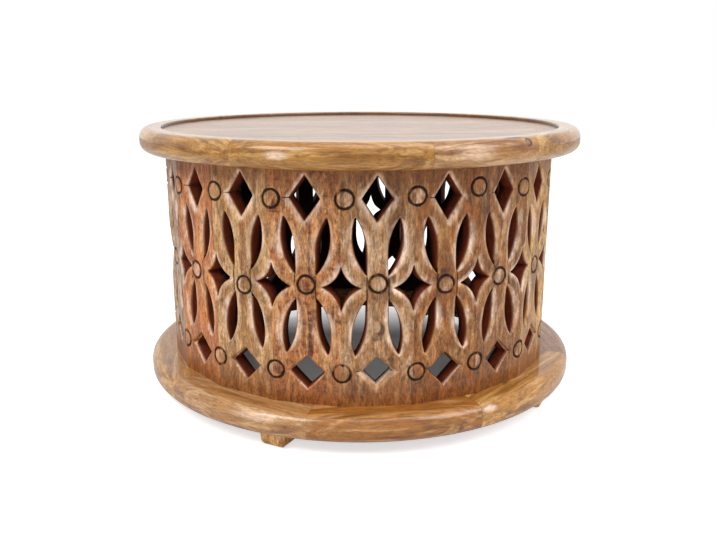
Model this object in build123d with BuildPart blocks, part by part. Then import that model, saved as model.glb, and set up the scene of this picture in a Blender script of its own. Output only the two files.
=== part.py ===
"""Round drum table in solid mango wood: a pierced and carved wall of glued staves between two rings.

Millimetres, +Z up, the floor at Z = 0 and the axis of the drum at X = Y = 0. The front is -Y.
Bearings are degrees from the front, turning towards +X.
"""

from build123d import *
from math import cos, radians, sin, sqrt, tan
import os

os.makedirs("parts", exist_ok=True)

# Heights, from the floor up
FOOT_HEIGHT = 22.0
BASE_THICKNESS = 40.0
WALL_HEIGHT = 350.0
RIM_THICKNESS = 38.0

# Wall: staves planed flat, mitred and glued edge to edge
STAVE_COUNT = 20
STAVE_THICKNESS = 26.0
FIRST_STAVE_BEARING = 4.4
JOINT_EASE = 0.8

# Rings: segments sawn from boards and glued end to end, standing out beyond the wall's joints
RIM_DIAMETER = 750.0
RIM_OVERHANG = 40.0
BASE_OVERHANG = 43.0
RING_LEDGE = 6.0
RIM_TOP_WIDTH = 36.0
RIM_ROUND = 15.0
RIM_INNER_ROUND = 3.0
BASE_TOP_ROUND = 16.0
BASE_BOTTOM_ROUND = 14.0
RIM_JOINTS = (-28.4, 15.2, 42.8, 92.0, 139.0, 186.0, 234.0, 283.0)
BASE_JOINTS = (-51.5, -11.8, 28.6, 73.0, 119.0, 165.0, 211.0, 257.0)

# Panel: planks glued into a disc that lies in the rim's rebate
RECESS_DEPTH = 6.0
PLANK_THICKNESS = 20.0
PLANK_COUNT = 7
PANEL_GAP = 0.5

# Battens across the planks, under the panel
BATTEN_WIDTH = 40.0
BATTEN_THICKNESS = 22.0
BATTEN_SPACING = 300.0
BATTEN_GAP = 2.0

# Feet: square blocks, tapered and rounded at the bottom, set by eye under the base ring.
# Each place is a bearing, the centre's distance in from the ring's edge, and degrees off square
FOOT_PLACES = ((-20.5, 34.0, -7.0), (57.5, 39.5, 7.0), (155.0, 37.0, -4.0), (244.0, 37.0, 5.0))
FOOT_SIDE = 43.0
FOOT_TAPER = 6.0
FOOT_CORNER_ROUND = 3.0
FOOT_BOTTOM_ROUND = 9.0

# Carved pattern, on each stave from its centre line and the middle row of circles
TOP_ROW_MARGIN = 43.0
BOTTOM_ROW_MARGIN = 51.0
CIRCLE_DIAMETER = 30.0
GROOVE_WIDTH = 3.6
GROOVE_DEPTH = 3.0
JOINT_GROOVE_DEPTH = 3.6
LEAN_PER_DRIFT = 0.6

# How far the hand set a circle across and up from its true place. The others drift by HAND_DRIFT
HAND_DRIFT = 3.0
CENTRE_DRIFTS = {
    0: (0.2, 6.4),
    1: (-2.3, 0.0),
    2: (-5.2, -0.8),
    3: (-1.9, -2.3),
    17: (-4.3, -1.5),
    18: (2.9, -7.1),
    19: (1.2, 2.9),
}
UPPER_JOINT_DRIFTS = {
    0: (5.8, 0.0),
    1: (3.0, 3.4),
    2: (-3.7, 10.8),
    3: (-8.3, 1.1),
    18: (4.4, 0.9),
    19: (3.1, -1.7),
}
LOWER_JOINT_DRIFTS = {
    0: (0.6, 0.0),
    1: (6.2, 0.0),
    2: (0.5, 1.9),
    3: (-0.7, -3.1),
    18: (0.4, -1.7),
    19: (3.7, -1.4),
}

# Openings: throats sawn right through the stave
UPPER_DIAMOND_HALF_WIDTH = 21.5
UPPER_DIAMOND_HALF_HEIGHT = 32.0
LOWER_DIAMOND_HALF_WIDTH = 25.0
LOWER_DIAMOND_HALF_HEIGHT = 25.5
LOWER_DIAMOND_RAISE = -1.0
STAR_HALF_WIDTH = 28.0
STAR_HALF_HEIGHT = 32.0
STAR_WAIST_RADIUS = 16.0
STRAP_HALF_WIDTH = 16.0
LEAF_FOOT = 17.5
LEAF_BEND = 50.0
LEAF_BULGE_ACROSS = 35.0
LEAF_BULGE_UP = 62.0
LEAF_TIP_ACROSS = 31.5
LEAF_TIP_BELOW_ROW = 26.0

# Mouths: the sloped edges around the throats, as wide as given here
BEVEL_DEPTH = 3.0
LEAF_BEVEL = 5.0
STAR_BEVEL = 3.5
DIAMOND_BEVEL = 3.0
SILL_DEPTH = 6.0
SILL_REACH_ACROSS = 5.0
SILL_REACH_DOWN = 6.0

# On one stave the sill is broader: the throat is smaller by the inset, and stands higher by the raise
BROAD_SILL_STAVE = 0
BROAD_SILL_INSET = 2.5
BROAD_SILL_RAISE = 3.0
BROAD_SILL_GAIN = 6.5

# Saw cuts that run on past the corners of the openings
SAW_CUT_WIDTH = 1.6
SAW_CUT_DEPTH = 2.5
SAW_CUT_LENGTH = 9.0

# Countersunk wood screws
SCREW_DIAMETER = 4.2
SCREW_HEAD_DIAMETER = 8.4
SCREW_CLEARANCE = 0.1
SCREW_ACROSS = 34.0
RIM_SCREW_LENGTH = 45.0
BASE_SCREW_LENGTH = 62.0
BATTEN_SCREW_LENGTH = 36.0
FOOT_SCREW_LENGTH = 36.0
FOOT_SCREW_BORE = 5.0

# Worked out from the sizes above
FULL_TURN = 360.0
BASE_BOTTOM = FOOT_HEIGHT
WALL_BOTTOM = BASE_BOTTOM + BASE_THICKNESS
WALL_TOP = WALL_BOTTOM + WALL_HEIGHT
RIM_TOP = WALL_TOP + RIM_THICKNESS
PANEL_BOTTOM = RIM_TOP - RECESS_DEPTH - PLANK_THICKNESS
BATTEN_BOTTOM = PANEL_BOTTOM - BATTEN_THICKNESS
ROW_PITCH = (WALL_HEIGHT - TOP_ROW_MARGIN - BOTTOM_ROW_MARGIN) / 2
PATTERN_HEIGHT = WALL_BOTTOM + BOTTOM_ROW_MARGIN + ROW_PITCH

STAVE_PITCH = FULL_TURN / STAVE_COUNT
HALF_PITCH = radians(STAVE_PITCH / 2)
RIM_RADIUS = RIM_DIAMETER / 2
JOINT_RADIUS = RIM_RADIUS - RIM_OVERHANG
FACE_DISTANCE = JOINT_RADIUS * cos(HALF_PITCH)
FACE_HALF_WIDTH = JOINT_RADIUS * sin(HALF_PITCH)
WALL_INNER_DISTANCE = FACE_DISTANCE - STAVE_THICKNESS
WALL_MIDDLE_DISTANCE = FACE_DISTANCE - STAVE_THICKNESS / 2

RING_INNER_RADIUS = WALL_INNER_DISTANCE - RING_LEDGE
BASE_RADIUS = JOINT_RADIUS + BASE_OVERHANG
RECESS_RADIUS = RIM_RADIUS - RIM_TOP_WIDTH
PANEL_RADIUS = RECESS_RADIUS - PANEL_GAP
PLANK_WIDTH = 2 * PANEL_RADIUS / PLANK_COUNT
BATTEN_OUTER_X = (BATTEN_SPACING + BATTEN_WIDTH) / 2
BATTEN_LENGTH = 2 * (sqrt(RING_INNER_RADIUS**2 - BATTEN_OUTER_X**2) - BATTEN_GAP)
CIRCLE_RADIUS = CIRCLE_DIAMETER / 2
LEAF_TIP_UP = ROW_PITCH - LEAF_TIP_BELOW_ROW


def upright_plane(bearing, distance, height, lean=0.0):
    """Plane facing outwards at a bearing, or leaning off it, with local X counter-clockwise."""
    side = radians(bearing - 90.0)
    facing = radians(bearing - 90.0 + lean)
    return Plane(
        origin=(distance * cos(side), distance * sin(side), height),
        x_dir=(-sin(facing), cos(facing), 0),
        z_dir=(cos(facing), sin(facing), 0),
    )


def section_plane(bearing):
    """Upright plane through the drum's axis, local X outwards and local Y up."""
    side = radians(bearing - 90.0)
    return Plane(origin=(0, 0, 0), x_dir=(cos(side), sin(side), 0), z_dir=(sin(side), -cos(side), 0))


def flat_point(bearing, distance, across):
    """X and Y of a point at a distance along a bearing and across it, counter-clockwise."""
    side = radians(bearing - 90.0)
    return (
        distance * cos(side) - across * sin(side),
        distance * sin(side) + across * cos(side),
    )


def stave_bearing(index):
    return FIRST_STAVE_BEARING + index * STAVE_PITCH


def hand_error(seed):
    """Small repeatable error of hand work, from -1 to 1."""
    return sin(2.4 * seed + 0.7) * cos(1.1 * seed)


def hand_drift(seed):
    """How far a circle with no drift of its own is off its place, across and up."""
    return HAND_DRIFT * hand_error(seed), HAND_DRIFT * hand_error(seed + 31)


def leaf(side, rise, bevel=0.0):
    """Leaf-shaped outline beside the middle strap, on one side of it and above or below the row.

    A bevel sets its sides out by that much, and its two ends by less.
    """
    foot = (side * (STRAP_HALF_WIDTH - bevel / 5), rise * (LEAF_FOOT - bevel / 2))
    bend = (side * (STRAP_HALF_WIDTH - bevel), rise * LEAF_BEND)
    tip = (side * (LEAF_TIP_ACROSS + bevel / 5), rise * (LEAF_TIP_UP + bevel))
    bulge = (side * (LEAF_BULGE_ACROSS + bevel), rise * LEAF_BULGE_UP)
    with BuildSketch() as outline:
        with BuildLine():
            Line(foot, bend)
            TangentArc(bend, tip, tangent=(0, rise))
            ThreePointArc(tip, bulge, foot)
        make_face()
    return outline.sketch


def star(side, bevel=0.0):
    """Four-pointed star whose centre is on the joint at one side of the stave.

    A bevel sets its sides out by that much, and its long points by twice as much.
    """
    centre = side * FACE_HALF_WIDTH
    across = STAR_HALF_WIDTH + 2 * bevel
    up = STAR_HALF_HEIGHT + 2 * bevel
    waist = (STAR_WAIST_RADIUS + bevel) / sqrt(across**2 + up**2)
    corners = [(across, 0), (0, up), (-across, 0), (0, -up)]
    with BuildSketch() as outline:
        with BuildLine():
            for start, end in zip(corners, corners[1:] + corners[:1]):
                middle = ((start[0] + end[0]) * waist, (start[1] + end[1]) * waist)
                ThreePointArc(*[(centre + x, y) for x, y in (start, middle, end)])
        make_face()
    return outline.sketch


def diamond(centre, half_width, half_height, reach=(0.0, 0.0, 0.0)):
    """Diamond outline, reaching further across, up and down by the three given amounts."""
    across, up, down = reach
    corners = [
        (half_width + across, centre),
        (0, centre + half_height + up),
        (-half_width - across, centre),
        (0, centre - half_height - down),
    ]
    with BuildSketch() as outline:
        Polygon(*corners, align=None)
    return outline.sketch


def ring_groove(plane, across, depth):
    """Cutter for a narrow circular groove around a flush disc."""
    with BuildPart() as cutter:
        with BuildSketch(plane):
            with Locations((across, 0)):
                Circle(CIRCLE_RADIUS)
                Circle(CIRCLE_RADIUS - GROOVE_WIDTH, mode=Mode.SUBTRACT)
        extrude(amount=-depth)
    return cutter.part


def opening(face, mouth, throat, mouth_depth):
    """Cutter for an opening: a sloped mouth from the face, then a straight throat right through."""
    with BuildPart() as cutter:
        with BuildSketch(face):
            add(mouth)
        with BuildSketch(face.offset(-mouth_depth)):
            add(throat)
        loft(ruled=True)
        with BuildSketch(face.offset(-mouth_depth)):
            add(throat)
        extrude(amount=-STAVE_THICKNESS)
    return cutter.part


def screw(place, length, grow=0.0, bore=0.0):
    """Countersunk screw whose head lies at a place (x, y, height, way), way 1 down or -1 up.

    Grown by the clearance it is the hole for the screw, with a bore that lets the head in.
    """
    x, y, height, way = place
    shank = SCREW_DIAMETER / 2
    head = SCREW_HEAD_DIAMETER / 2
    half_section = [
        (0, 0),
        (head + grow, 0),
        (shank + grow, -way * (head - shank)),
        (shank + grow, -way * (length - shank)),
        (0, -way * (length + grow)),
    ]
    with BuildPart() as turned:
        with BuildSketch(Plane(origin=(x, y, height), x_dir=(1, 0, 0), z_dir=(0, -1, 0))):
            Polygon(*half_section, align=None)
        revolve(axis=Axis((x, y, height), (0, 0, 1)))
        if bore:
            with BuildSketch(Plane.XY.offset(height)):
                with Locations((x, y)):
                    Circle(head + grow)
            extrude(amount=way * bore)
    return turned.part


def drill(places, length, bore=0.0):
    """Holes for the screws at these places."""
    return [screw(place, length, SCREW_CLEARANCE, bore) for place in places]


def save(part, name):
    part.label = name
    export_step(part, f"parts/{name}.step")


def foot_centre(bearing, inset):
    return flat_point(bearing, BASE_RADIUS - inset, 0.0)


# Screws: where each one's head lies, and 1 if it is driven down or -1 if up
DOWN = 1
UP = -1
RIM_SCREWS = [
    (*flat_point(stave_bearing(k), WALL_MIDDLE_DISTANCE, SCREW_ACROSS), PANEL_BOTTOM, DOWN)
    for k in range(STAVE_COUNT)
]
BASE_SCREWS = [
    (*flat_point(stave_bearing(k), WALL_MIDDLE_DISTANCE, -SCREW_ACROSS), BASE_BOTTOM, UP)
    for k in range(STAVE_COUNT)
]
FOOT_SCREWS = [
    (*foot_centre(bearing, inset), FOOT_SCREW_BORE, UP)
    for bearing, inset, _ in FOOT_PLACES
]
PLANK_CENTRES = [-PANEL_RADIUS + (k + 0.5) * PLANK_WIDTH for k in range(PLANK_COUNT)]
BATTEN_XS = (-BATTEN_SPACING / 2, BATTEN_SPACING / 2)
BATTEN_SCREWS = [
    (x, y, BATTEN_BOTTOM, UP)
    for x in BATTEN_XS
    for y in PLANK_CENTRES
    if abs(y) < BATTEN_LENGTH / 2 - SCREW_HEAD_DIAMETER
]

RIM_HOLES = drill(RIM_SCREWS, RIM_SCREW_LENGTH)
BASE_HOLES = drill(BASE_SCREWS, BASE_SCREW_LENGTH)
FOOT_HOLES = drill(FOOT_SCREWS, FOOT_SCREW_LENGTH, bore=FOOT_SCREW_BORE)
BATTEN_HOLES = drill(BATTEN_SCREWS, BATTEN_SCREW_LENGTH)


# Staves: flat boards with mitred edges, all sawn through alike but for one broad sill
def pierced_board(broad_sill):
    """A stave that faces the front, before its grooves and screw holes."""
    face = upright_plane(0.0, FACE_DISTANCE, PATTERN_HEIGHT)
    inner_half_width = WALL_INNER_DISTANCE * tan(HALF_PITCH)
    outline = [
        flat_point(0.0, FACE_DISTANCE, -FACE_HALF_WIDTH),
        flat_point(0.0, FACE_DISTANCE, FACE_HALF_WIDTH),
        flat_point(0.0, WALL_INNER_DISTANCE, inner_half_width),
        flat_point(0.0, WALL_INNER_DISTANCE, -inner_half_width),
    ]
    inset, raised, gain = 0.0, 0.0, 0.0
    if broad_sill:
        inset, raised, gain = BROAD_SILL_INSET, BROAD_SILL_RAISE, BROAD_SILL_GAIN
    low_centre = LOWER_DIAMOND_RAISE + raised - ROW_PITCH
    upper = (ROW_PITCH, UPPER_DIAMOND_HALF_WIDTH, UPPER_DIAMOND_HALF_HEIGHT)
    lower = (low_centre, LOWER_DIAMOND_HALF_WIDTH - inset, LOWER_DIAMOND_HALF_HEIGHT - inset)
    all_round = (DIAMOND_BEVEL, DIAMOND_BEVEL, DIAMOND_BEVEL)
    sill = (SILL_REACH_ACROSS + gain, 0.0, SILL_REACH_DOWN + gain)
    cutters = [
        opening(face, diamond(*upper, all_round), diamond(*upper), BEVEL_DEPTH),
        opening(face, diamond(*lower, sill), diamond(*lower), SILL_DEPTH),
    ]
    for side in (-1, 1):
        cutters.append(opening(face, star(side, STAR_BEVEL), star(side), BEVEL_DEPTH))
        for rise in (-1, 1):
            cutters.append(opening(face, leaf(side, rise, LEAF_BEVEL), leaf(side, rise), BEVEL_DEPTH))

    with BuildPart() as board:
        with BuildSketch(Plane.XY.offset(WALL_BOTTOM)) as end_grain:
            Polygon(*outline, align=None)
            chamfer(end_grain.vertices().group_by(Axis.Y)[0], length=JOINT_EASE)
        extrude(amount=WALL_HEIGHT)
        add(cutters, mode=Mode.SUBTRACT)
        with BuildSketch(face):
            for centre, half_width, _ in (upper, lower):
                with Locations((-half_width - DIAMOND_BEVEL, centre)):
                    Rectangle(2 * SAW_CUT_LENGTH, SAW_CUT_WIDTH)
            with GridLocations(2 * STRAP_HALF_WIDTH, 2 * LEAF_FOOT, 2, 2):
                Rectangle(SAW_CUT_WIDTH, 2 * SAW_CUT_LENGTH)
        extrude(amount=-SAW_CUT_DEPTH, mode=Mode.SUBTRACT)
    return board.part


def centre_groove(index):
    """Circle in the middle of a stave, where the hand set it."""
    across, up = CENTRE_DRIFTS.get(index, hand_drift(index))
    face = upright_plane(stave_bearing(index), FACE_DISTANCE, PATTERN_HEIGHT + up)
    return ring_groove(face, across, GROOVE_DEPTH)


def joint_groove(joint, row):
    """Circle over the joint before a stave, cut across the ridge and leaning to the side it is on."""
    number = joint % STAVE_COUNT
    drifts = UPPER_JOINT_DRIFTS if row > 0 else LOWER_JOINT_DRIFTS
    across, up = drifts.get(number, hand_drift(2 * number + max(row, 0)))
    height = PATTERN_HEIGHT + row * ROW_PITCH + up
    ridge = upright_plane(stave_bearing(joint - 0.5), JOINT_RADIUS, height, LEAN_PER_DRIFT * across)
    return ring_groove(ridge, across, JOINT_GROOVE_DEPTH)


PIERCED_BOARD = pierced_board(False)
BROAD_SILL_BOARD = pierced_board(True)
for k in range(STAVE_COUNT):
    with BuildPart() as stave:
        board = BROAD_SILL_BOARD if k == BROAD_SILL_STAVE else PIERCED_BOARD
        add(board, rotation=(0, 0, stave_bearing(k)))
        add(centre_groove(k), mode=Mode.SUBTRACT)
        for row in (-1, 1):
            add(joint_groove(k, row), mode=Mode.SUBTRACT)
            add(joint_groove(k + 1, row), mode=Mode.SUBTRACT)
        add([RIM_HOLES[k], BASE_HOLES[k]], mode=Mode.SUBTRACT)
    save(stave.part, f"stave_{k + 1:02d}")


# Rings: each segment is the ring's section turned about the drum's axis between two joints
def rim_section():
    with BuildSketch() as section:
        with Locations((RING_INNER_RADIUS, WALL_TOP)):
            Rectangle(RIM_RADIUS - RING_INNER_RADIUS, RIM_THICKNESS, align=Align.MIN)
        fillet(section.vertices().group_by(Axis.X)[-1], RIM_ROUND)
        with Locations((RING_INNER_RADIUS, PANEL_BOTTOM)):
            rebate = (RECESS_RADIUS - RING_INNER_RADIUS, RIM_TOP - PANEL_BOTTOM)
            Rectangle(*rebate, align=Align.MIN, mode=Mode.SUBTRACT)
        fillet(section.vertices().sort_by_distance((RECESS_RADIUS, RIM_TOP))[0], RIM_INNER_ROUND)
    return section.sketch


def base_section():
    with BuildSketch() as section:
        with Locations((RING_INNER_RADIUS, BASE_BOTTOM)):
            Rectangle(BASE_RADIUS - RING_INNER_RADIUS, BASE_THICKNESS, align=Align.MIN)
        fillet(section.vertices().sort_by_distance((BASE_RADIUS, WALL_BOTTOM))[0], BASE_TOP_ROUND)
        lower = section.vertices().sort_by_distance((BASE_RADIUS, BASE_BOTTOM))[0]
        fillet(lower, BASE_BOTTOM_ROUND)
    return section.sketch


def make_ring(name, section, joints, holes):
    """Writes a ring's segments, each from one joint's bearing to the next."""
    ends = joints[1:] + (joints[0] + FULL_TURN,)
    for number, (start, end) in enumerate(zip(joints, ends), 1):
        with BuildPart() as segment:
            with BuildSketch(section_plane(start)):
                add(section)
            revolve(axis=Axis.Z, revolution_arc=end - start)
            add(holes, mode=Mode.SUBTRACT)
        save(segment.part, f"{name}_{number}")


make_ring("rim_segment", rim_section(), RIM_JOINTS, RIM_HOLES)
make_ring("base_segment", base_section(), BASE_JOINTS, BASE_HOLES + FOOT_HOLES)

# Feet: tapered blocks under the base ring
for k, (bearing, inset, askew) in enumerate(FOOT_PLACES):
    turn = radians(bearing + askew)
    top = Plane(
        origin=(*foot_centre(bearing, inset), FOOT_HEIGHT),
        x_dir=(cos(turn), sin(turn), 0),
        z_dir=(0, 0, 1),
    )
    with BuildPart() as foot:
        with BuildSketch(top):
            RectangleRounded(FOOT_SIDE, FOOT_SIDE, FOOT_CORNER_ROUND)
        extrude(amount=-FOOT_HEIGHT, taper=FOOT_TAPER)
        fillet(foot.faces().sort_by(Axis.Z)[0].edges(), FOOT_BOTTOM_ROUND)
        add(FOOT_HOLES[k], mode=Mode.SUBTRACT)
    save(foot.part, f"foot_{k + 1}")

# Panel: planks cut to the disc, with holes for the screws that come up through the battens
for number, y in enumerate(PLANK_CENTRES, 1):
    with BuildPart() as plank:
        with BuildSketch(Plane.XY.offset(PANEL_BOTTOM)):
            Circle(PANEL_RADIUS)
            with Locations((0, y)):
                Rectangle(2 * PANEL_RADIUS, PLANK_WIDTH, mode=Mode.INTERSECT)
        extrude(amount=PLANK_THICKNESS)
        add(BATTEN_HOLES, mode=Mode.SUBTRACT)
    save(plank.part, f"panel_plank_{number}")

for name, x in zip(("batten_left", "batten_right"), BATTEN_XS):
    with BuildPart() as batten:
        with BuildSketch(Plane.XY.offset(BATTEN_BOTTOM)):
            with Locations((x, 0)):
                Rectangle(BATTEN_WIDTH, BATTEN_LENGTH)
        extrude(amount=BATTEN_THICKNESS)
        add(BATTEN_HOLES, mode=Mode.SUBTRACT)
    save(batten.part, name)

# Screws: one node for each set, every screw a solid of its own
for name, places, length in (
    ("rim_screws", RIM_SCREWS, RIM_SCREW_LENGTH),
    ("base_screws", BASE_SCREWS, BASE_SCREW_LENGTH),
    ("batten_screws", BATTEN_SCREWS, BATTEN_SCREW_LENGTH),
    ("foot_screws", FOOT_SCREWS, FOOT_SCREW_LENGTH),
):
    with BuildPart() as screws:
        add([screw(place, length) for place in places])
    save(screws.part, name)
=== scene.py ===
"""Looks for a carved drum table in mango wood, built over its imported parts.

The wall's staves are carved again here with soft, hand-rounded edges. The rings, panel, feet, battens
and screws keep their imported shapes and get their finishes. Metres, +Z up, the front is -Y.
Bearings are angles from the front, turning towards +X.
"""

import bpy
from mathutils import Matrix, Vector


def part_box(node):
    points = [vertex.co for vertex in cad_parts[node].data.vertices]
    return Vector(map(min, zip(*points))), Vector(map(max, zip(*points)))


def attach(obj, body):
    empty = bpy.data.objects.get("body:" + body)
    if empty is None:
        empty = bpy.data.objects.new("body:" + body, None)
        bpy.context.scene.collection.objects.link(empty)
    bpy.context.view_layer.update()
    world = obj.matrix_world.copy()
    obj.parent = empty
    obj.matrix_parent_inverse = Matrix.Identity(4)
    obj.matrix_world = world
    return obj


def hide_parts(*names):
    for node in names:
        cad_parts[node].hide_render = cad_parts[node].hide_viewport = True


bl_info = {
    "name": "Carved drum table",
    "version": (1, 0, 0),
    "blender": (4, 5, 0),
    "location": "3D View > Sidebar > Drum table",
    "description": "Carves and finishes a round mango wood drum table over its packed parts",
    "category": "Object",
}

from math import atan2, cos, hypot, pi, radians, sin, tan

import bpy
import numpy as np
from bpy.props import FloatProperty, FloatVectorProperty, IntProperty, PointerProperty
from bpy.types import NodeSocket, Operator, Panel, PropertyGroup
from mathutils import Vector

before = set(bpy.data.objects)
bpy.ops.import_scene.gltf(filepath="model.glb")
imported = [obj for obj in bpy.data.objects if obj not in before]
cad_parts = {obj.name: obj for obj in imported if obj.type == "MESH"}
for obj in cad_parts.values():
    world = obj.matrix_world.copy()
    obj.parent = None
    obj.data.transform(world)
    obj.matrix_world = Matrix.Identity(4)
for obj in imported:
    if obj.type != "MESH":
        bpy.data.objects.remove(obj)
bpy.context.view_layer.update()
MM = 0.001
WALL_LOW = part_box("stave_01")[0].z
WALL_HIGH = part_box("stave_01")[1].z


def linear(hex_colour):
    """Linear RGB of an sRGB hex colour: a power of 2.4 above a short straight foot."""
    levels = [int(hex_colour[i : i + 2], 16) / 255 for i in (1, 3, 5)]
    return [x / 12.92 if x <= 0.04045 else ((x + 0.055) / 1.055) ** 2.4 for x in levels]


def colour(name, description, hex_colour):
    return FloatVectorProperty(
        name=name, description=description, default=linear(hex_colour), subtype="COLOR", min=0, max=1, size=3
    )


def length(name, description, millimetres):
    return FloatProperty(
        name=name, description=description, default=millimetres * MM, unit="LENGTH", precision=4
    )


class DrumCarvingSizes(PropertyGroup):
    stave_count: IntProperty(name="Staves", description="Staves in the wall", default=20, min=8)
    first_bearing: FloatProperty(
        name="First stave", description="Bearing of the first stave's middle", default=radians(4.4),
        subtype="ANGLE",
    )
    joint_radius: length("Joint radius", "From the drum's axis to the glued joints on the outside", 335.0)
    thickness: length("Stave thickness", "Thickness of the planed boards", 26.0)
    pattern_height: length("Middle row", "Height of the middle row of circles above the floor", 241.0)
    row_pitch: length("Row pitch", "From one row of circles to the next", 128.0)
    circle_radius: length("Circle radius", "Outer edge of the grooved circles", 15.0)
    groove_width: length("Groove width", "Width of the groove round a circle", 3.6)
    groove_depth: length("Groove depth", "Depth of that groove at its middle", 2.4)
    strap_half_width: length("Strap half width", "From a stave's centre line to the leaves beside it", 16.0)
    leaf_foot: length("Leaf foot", "From the middle row to a leaf's nearer end", 17.5)
    leaf_bend: length("Leaf bend", "From the middle row to where a leaf turns away from the strap", 50.0)
    leaf_bulge_across: length("Leaf bulge across", "From a stave's centre line to a leaf's curved side", 35.0)
    leaf_bulge_up: length("Leaf bulge height", "From the middle row to where that side is so far out", 62.0)
    leaf_tip_across: length("Leaf tip across", "From a stave's centre line to a leaf's tip", 31.5)
    leaf_tip_short: length("Leaf tip gap", "From a leaf's tip to the next row of circles", 26.0)
    star_half_width: length("Star half width", "From a joint to a star's point", 28.0)
    star_half_height: length("Star half height", "From the middle row to a star's point", 32.0)
    star_waist: length("Star waist", "From a star's middle to its bowed sides", 16.0)
    upper_half_width: length("Upper diamond half width", "From its middle to its side points", 21.5)
    upper_half_height: length("Upper diamond half height", "From its middle to its top", 32.0)
    lower_half_width: length("Lower diamond half width", "From its middle to its side points", 25.0)
    lower_half_height: length("Lower diamond half height", "From its middle to its top", 25.5)
    lower_raise: length("Lower diamond raise", "From the lower row up to its middle", -1.0)
    lower_reach: length("Sill reach", "From a lower diamond's side points to its sloping sill's", 5.0)
    broad_sill_stave: IntProperty(
        name="Broad sill", description="Stave whose lower diamond has a broad sill", default=0
    )
    broad_half_width: length("Broad sill's half width", "From that diamond's middle to its side points", 22.5)
    broad_half_height: length("Broad sill's half height", "From that diamond's middle to its top", 23.0)
    broad_raise: length("Broad sill's raise", "From the lower row up to that diamond's middle", 2.0)
    broad_reach: length("Broad sill's reach", "From that diamond's side points to its sill's", 11.5)
    sill_depth: length("Sill depth", "How far the lower diamonds' sloping sills drop", 6.0)
    edge_depth: length("Edge depth", "How far the rounded edges drop before the saw's cut", 6.0)
    strap_edge: length("Strap edge", "Width of the rounding where a leaf meets the middle strap", 14.0)
    curve_edge: length("Curve edge", "Width of the rounding on the leaves' curved side", 15.0)
    leaf_end_edge: length("Leaf end edge", "Width of the rounding at the leaves' two ends", 2.5)
    star_edge: length("Star edge", "Width of the rounding round the stars", 11.0)
    diamond_edge: length("Diamond edge", "Width of the rounding above the upper diamonds", 7.0)
    joint_drop: length("Joint drop", "How far the face is eased at a glued joint", 0.3)
    joint_ease: length("Joint ease", "Width of the eased strip beside a glued joint", 1.2)
    wander_across: length("Wander across", "How far the hand shifts the outlines across", 1.0)
    wander_up: length("Wander up", "How far the hand shifts the outlines up and down", 0.9)
    step: length("Carving step", "Spacing of the points on the carved faces", 1.35)


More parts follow.
